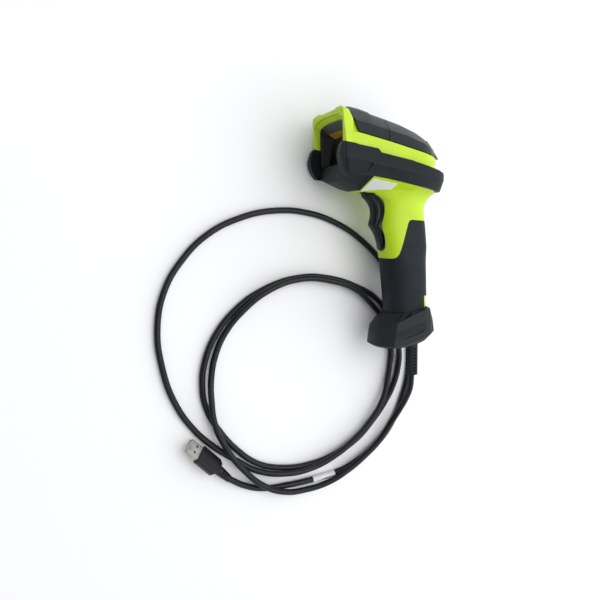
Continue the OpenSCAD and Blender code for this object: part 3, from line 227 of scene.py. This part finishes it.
LOOKS = {}


class Look(Nodes):
    """A material with a Principled shader at its end, kept in LOOKS by its name."""

    def __init__(self, name):
        material = bpy.data.materials.new(name)
        material.use_nodes = True
        super().__init__(material.node_tree)
        self.shader = self.node("ShaderNodeBsdfPrincipled")
        self.node("ShaderNodeOutputMaterial", None, {"Surface": self.shader.outputs[0]})
        self.place = self.node("ShaderNodeTexCoord").outputs["Object"]
        LOOKS[name] = material

    def noise(self, scale, detail=3.0, rough=0.55, stretch=None):
        place = self.place
        if stretch:
            mapping = self.node("ShaderNodeMapping", None, {"Vector": place, "Scale": stretch})
            place = mapping.outputs[0]
        made = self.node(
            "ShaderNodeTexNoise", None,
            {"Vector": place, "Scale": scale, "Detail": detail, "Roughness": rough},
        )
        return Value(self, made.outputs[0])

    def cells(self, scale, feature="F1"):
        made = self.node(
            "ShaderNodeTexVoronoi", {"feature": feature}, {"Vector": self.place, "Scale": scale}
        )
        return Value(self, made.outputs["Distance"])

    def blend(self, amount, first, second):
        """A colour Mix: its factor is socket 0, its colours are 6 and 7, its result is 2."""
        made = self.node("ShaderNodeMix", {"data_type": "RGBA"}, {0: amount, 6: first, 7: second})
        return made.outputs[2]

    def bump(self, height, depth, strength=1.0):
        """Relief with a depth in millimetres."""
        made = self.node(
            "ShaderNodeBump", None,
            {"Height": height, "Distance": depth * MM, "Strength": strength},
        )
        return made.outputs[0]

    def finish(self, colour, rough, normal=None, **fixed):
        self.feed(self.shader.inputs["Base Color"], colour)
        self.feed(self.shader.inputs["Roughness"], rough)
        if normal:
            self.feed(self.shader.inputs["Normal"], normal)
        for key, value in fixed.items():
            self.feed(self.shader.inputs[key.replace("_", " ")], value)


# ---------------------------------------------------------------- finishes

def moulded(name, colour, dark, rough, grain, depth, spread=0.08, shine=0.5):
    """Moulded plastic or rubber: fine grain, cloudy tone, rubbed patches and faint scuffs."""
    look = Look(name)
    cloud = look.noise(28, 4.0)
    patch = look.noise(95, 5.0, 0.65).step(0.42, 0.68)
    fine = look.noise(grain, 3.0, 0.6)
    pores = look.cells(grain * 0.7)
    scuff = look.noise(700, 2.0, 0.5, stretch=(1.0, 0.12, 1.0)).step(0.66, 0.74)
    scuffed = tuple(min(1.0, c * 1.25 + 0.03) for c in colour)
    tone = look.blend(cloud.step(0.3, 0.75), dark, colour)
    tone = look.blend(scuff * 0.12, tone, scuffed)
    tone = look.blend((fine - 0.5).above(0.0) * 0.35, tone, dark)
    roughness = patch * spread + (fine - 0.5) * 0.12 + scuff * 0.08 + rough
    height = fine * 0.6 + pores * 0.4 - scuff * 0.15
    look.finish(tone, roughness, look.bump(height, depth), Specular_IOR_Level=shine)


def upright(look):
    """Where a place is on the upright scanner: back along the head and up the handle, mm."""
    axes = look.node("ShaderNodeSeparateXYZ", None, {"Vector": look.place}).outputs
    x, y, z = (Value(look, axis) * (1 / MM) for axis in axes)
    y, z = y + CENTRE_Y, z - LIE_H
    return x + CENTRE_X, y * math.cos(LIE_TILT) + z * math.sin(LIE_TILT)


def dimpled(name, colour, dark, rough, shine):
    """Foot rubber: finely grained, with a slanted band of small dimples on each side, their hollows
    darkened as painted shade.
    """
    look = Look(name)
    back, up = upright(look)
    back, up = back - BAND_X, up - BAND_Z
    along = back * BAND_RUN + up * BAND_RISE
    across = up * BAND_RUN - back * BAND_RISE
    band = (1.0 - abs(along).step(*BAND_END)) * (1.0 - abs(across).step(*BAND_EDGE))
    dots = (along + across).wave(DIMPLE_PITCH) * (along - across).wave(DIMPLE_PITCH)
    dots = dots.step(0.05, 0.5) * band
    fine = look.noise(2000, 3.0, 0.6)
    cloud = look.noise(28, 4.0).step(0.3, 0.75)
    tone = look.blend(cloud, dark, colour)
    # The dimples' colour is darkened: painted shade in their hollows, on top of their bump relief.
    tone = look.blend(dots * 0.5, tone, tuple(c * 0.3 for c in dark))
    roughness = fine * 0.15 + dots * 0.1 + rough
    relief = look.bump(fine * 0.08 - dots, 0.4, strength=0.8)
    look.finish(tone, roughness, relief, Specular_IOR_Level=shine)


def metal(name, colour, dark, rough):
    """Rolled or turned metal: brushed lines, dull stains."""
    look = Look(name)
    lines = look.noise(900, 3.0, 0.6, stretch=(1.0, 12.0, 1.0))
    stain = look.noise(160, 5.0, 0.6).step(0.45, 0.7)
    tone = look.blend(stain * 0.6, colour, dark)
    roughness = lines * 0.16 + stain * 0.14 + rough
    look.finish(tone, roughness, look.bump(lines, 0.012), Metallic=1.0)


def glassy(name, colour, dark, rough, coat):
    """A clear or tinted window, lens or lamp: slight waves, dust and a clear coat."""
    look = Look(name)
    wave = look.noise(60, 2.0)
    dust = look.noise(1500, 2.0, 0.5).step(0.64, 0.76)
    tone = look.blend(wave.step(0.3, 0.7), dark, colour)
    tone = look.blend(dust * 0.1, tone, (0.55, 0.55, 0.52))
    roughness = dust * 0.22 + wave * 0.05 + rough
    look.finish(tone, roughness, look.bump(wave, 0.06), Coat_Weight=coat)


def board(name):
    """Circuit board lacquer over a faint weave and copper runs."""
    look = Look(name)
    runs = look.cells(420, "DISTANCE_TO_EDGE").step(0.02, 0.06)
    weave = look.noise(2600, 2.0)
    tone = look.blend(runs, (0.03, 0.16, 0.06), (0.008, 0.075, 0.028))
    look.finish(tone, weave * 0.15 + 0.28, look.bump(runs * -0.5 + weave * 0.3, 0.03))


def make_looks():
    """Every finish of the scanner: its colour, its darker tone and the finish itself."""
    moulded(
        "lime_shell", (0.52, 0.73, 0.013), (0.45, 0.65, 0.009),
        rough=0.4, grain=2600, depth=0.018, shine=0.4)
    moulded(
        "bumper_rubber", (0.0105, 0.0145, 0.0185), (0.006, 0.0085, 0.011),
        rough=0.5, grain=2000, depth=0.05, shine=0.2)
    dimpled(
        "foot_rubber", (0.0105, 0.0145, 0.0185), (0.006, 0.0085, 0.011), rough=0.48, shine=0.3)
    moulded(
        "grip_rubber", (0.0135, 0.0185, 0.0235), (0.008, 0.011, 0.0145),
        rough=0.56, grain=1500, depth=0.08, shine=0.2)
    moulded(
        "cover_plastic", (0.0105, 0.0145, 0.0185), (0.006, 0.0085, 0.011),
        rough=0.4, grain=2400, depth=0.03, shine=0.28)
    moulded(
        "black_plastic", (0.005, 0.0055, 0.0065), (0.0025, 0.003, 0.0035),
        rough=0.34, grain=2400, depth=0.03, shine=0.3)
    moulded(
        "frame_plastic", (0.05, 0.052, 0.055), (0.03, 0.032, 0.034),
        rough=0.5, grain=2200, depth=0.03)
    glassy("grey_lens", (0.27, 0.31, 0.31), (0.2, 0.235, 0.235), rough=0.3, coat=0.3)
    glassy("window_glass", (0.012, 0.01, 0.006), (0.006, 0.005, 0.004), rough=0.06, coat=1.0)
    glassy("amber_lens", (0.5, 0.3, 0.012), (0.3, 0.18, 0.008), rough=0.12, coat=0.8)
    moulded(
        "gasket_rubber", (0.015, 0.015, 0.016), (0.01, 0.01, 0.011),
        rough=0.7, grain=2400, depth=0.03)
    metal("barrel_metal", (0.2, 0.2, 0.21), (0.1, 0.1, 0.1), rough=0.34)
    glassy("led_plastic", (0.75, 0.72, 0.5), (0.6, 0.56, 0.3), rough=0.25, coat=0.4)
    board("board_green")
    moulded(
        "chip_plastic", (0.02, 0.02, 0.021), (0.012, 0.012, 0.013),
        rough=0.55, grain=3200, depth=0.02)
    metal("steel", (0.44, 0.43, 0.4), (0.2, 0.19, 0.165), rough=0.24)
    moulded(
        "plunger_red", (0.42, 0.03, 0.02), (0.3, 0.02, 0.015),
        rough=0.42, grain=2400, depth=0.02)
    moulded(
        "ribbon", (0.45, 0.25, 0.06), (0.32, 0.17, 0.04),
        rough=0.38, grain=1800, depth=0.02)
    glassy("clear_plastic", (0.62, 0.66, 0.66), (0.5, 0.54, 0.54), rough=0.2, coat=0.5)
    moulded(
        "cable_rubber", (0.009, 0.0105, 0.012), (0.005, 0.006, 0.007),
        rough=0.33, grain=1700, depth=0.04, spread=0.14, shine=0.28)
    moulded(
        "white_label", (0.76, 0.77, 0.76), (0.68, 0.69, 0.68),
        rough=0.48, grain=3200, depth=0.012)
    moulded(
        "white_plastic", (0.78, 0.78, 0.76), (0.7, 0.7, 0.68),
        rough=0.42, grain=2600, depth=0.02)
    metal("contact_brass", (0.83, 0.6, 0.25), (0.5, 0.34, 0.13), rough=0.22)


# ---------------------------------------------------------------- pieces

def dress(piece, look):
    piece.data.materials.clear()
    piece.data.materials.append(LOOKS[look])


def soft_mesh(name):
    """A CAD node's mesh without its seams between flat faces, ready to be rounded."""
    mesh = frame["nodes"][name].data.copy()
    mesh.name = name + "_soft"
    shape = bmesh.new()
    shape.from_mesh(mesh)
    bmesh.ops.remove_doubles(shape, verts=shape.verts, dist=WELD * MM)
    bmesh.ops.dissolve_limit(
        shape, angle_limit=FLAT_TURN, verts=shape.verts, edges=shape.edges)
    shape.normal_update()
    for face in shape.faces:
        face.smooth = True
    for seam in shape.edges:
        seam.smooth = len(seam.link_faces) != 2 or seam.calc_face_angle(0) < SHARP_TURN
    shape.to_mesh(mesh)
    shape.free()
    imported = mesh.attributes.get("custom_normal")
    if imported:
        mesh.attributes.remove(imported)
    return mesh


def softened(name, edge):
    """A copy of a CAD node with its sharp edges rounded by edge millimetres."""
    piece = bpy.data.objects.new(name + "_soft", soft_mesh(name))
    bpy.context.scene.collection.objects.link(piece)
    bevel = piece.modifiers.new("edges", "BEVEL")
    bevel.width = edge * MM
    bevel.segments = 2
    bevel.limit_method = "ANGLE"
    bevel.angle_limit = ROUNDED_TURN
    dress(piece, OWN_LOOK.get(name, SLOT_OF[name]))
    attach(piece, frame["nodes"][name]["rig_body"])
    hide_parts(name)
    return piece


def make_cord():
    """The free cord as one smooth line through its places."""
    line = bpy.data.curves.new("cord_line", "CURVE")
    line.dimensions = "3D"
    line.bevel_depth = CORD_D / 2 * MM
    line.bevel_resolution = 6
    line.resolution_u = 8
    line.use_fill_caps = True
    spline = line.splines.new("BEZIER")
    spline.bezier_points.add(len(CORD_PLACES) - 1)
    for point, place in zip(spline.bezier_points, CORD_PLACES):
        point.co = place
        point.handle_left_type = point.handle_right_type = "AUTO"
    line.materials.append(LOOKS["cable_rubber"])
    piece = bpy.data.objects.new("cord_line", line)
    bpy.context.scene.collection.objects.link(piece)
    return piece


# ---------------------------------------------------------------- floor, light and camera

def make_floor():
    """A plain pale floor."""
    far = FLOOR_REACH * MM
    corners = [(-far, -far, 0), (far, -far, 0), (far, far, 0), (-far, far, 0)]
    mesh = bpy.data.meshes.new("floor")
    mesh.from_pydata(corners, [], [(0, 1, 2, 3)])
    floor = bpy.data.objects.new("floor", mesh)
    floor.location.z = -FLOOR_DROP * MM
    bpy.context.scene.collection.objects.link(floor)
    look = Look("floor")
    tone = look.noise(3, 2.0)
    look.finish(look.blend(tone, (0.9, 0.9, 0.9), (0.92, 0.92, 0.92)), tone * 0.05 + 0.75)
    dress(floor, "floor")


def make_light(name, place, power, width):
    """A square lamp of a width and a place in metres that faces the scanner."""
    lamp = bpy.data.lights.new(name, "AREA")
    lamp.energy = power
    lamp.size = width
    piece = bpy.data.objects.new(name, lamp)
    piece.location = place
    piece.rotation_euler = (-Vector(place)).to_track_quat("-Z", "Y").to_euler()
    bpy.context.scene.collection.objects.link(piece)


def make_world():
    """Soft light, brighter behind the scanner than before it, and a white background."""
    world = bpy.data.worlds.new("studio")
    world.use_nodes = True
    sky = Nodes(world.node_tree)
    way = sky.node("ShaderNodeTexCoord").outputs["Generated"]
    side = sky.node("ShaderNodeSeparateXYZ", None, {"Vector": way}).outputs["X"]
    power = sky.node(
        "ShaderNodeMapRange", None,
        {"Value": side, "From Min": -0.9, "From Max": 0.9, "To Min": 0.2, "To Max": 1.36},
    ).outputs[0]
    soft = sky.node("ShaderNodeBackground", None, {"Color": (0.97, 0.98, 1.0), "Strength": power})
    white = sky.node("ShaderNodeBackground", None, {"Color": (0.97, 0.97, 0.97)})
    seen = sky.node("ShaderNodeLightPath").outputs["Is Camera Ray"]
    mixed = sky.node(
        "ShaderNodeMixShader", None, {0: seen, 1: soft.outputs[0], 2: white.outputs[0]})
    sky.node("ShaderNodeOutputWorld", None, {"Surface": mixed.outputs[0]})
    bpy.context.scene.world = world


def make_camera():
    lens = bpy.data.cameras.new("camera")
    lens.lens, lens.sensor_width = CAMERA_LENS, CAMERA_SENSOR
    lens.clip_start, lens.clip_end = 0.01, 20.0
    piece = bpy.data.objects.new("camera", lens)
    into_view = Matrix.Rotation(CAMERA_TURN.length, 3, CAMERA_TURN.normalized())
    facing = into_view.transposed() @ Matrix.Diagonal((1, -1, -1))
    piece.matrix_world = Matrix.Translation(CAMERA_PLACE * MM) @ facing.to_4x4()
    bpy.context.scene.collection.objects.link(piece)
    bpy.context.scene.camera = piece


# ---------------------------------------------------------------- the whole scene

make_looks()
# Each node's slot, and the one node that has a look of its own
SLOT_OF = {name: cad.data.materials[0].name.split(".")[0] for name, cad in frame["nodes"].items()}
OWN_LOOK = {"foot_boot": "foot_rubber"}
for name, cad in frame["nodes"].items():
    dress(cad, SLOT_OF[name])
SOFT = {name: softened(name, edge) for name, edge in SOFT_EDGES.items()}

cord = make_cord()
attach(cord, "scanner")
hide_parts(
    "cord_first_loop", "cord_under_foot_upper", "cord_second_loop", "cord_under_foot_lower",
    "cord_outer_loop", "cord_under_foot_rear", "cord_plug_end",
)

make_floor()
make_world()
make_light("key", place=(0.25, 0.35, 1.4), power=9.0, width=1.2)
make_light("fill", place=(0.9, -0.4, 0.9), power=2.0, width=1.0)
make_camera()
bpy.context.scene.view_settings.view_transform = "Standard"
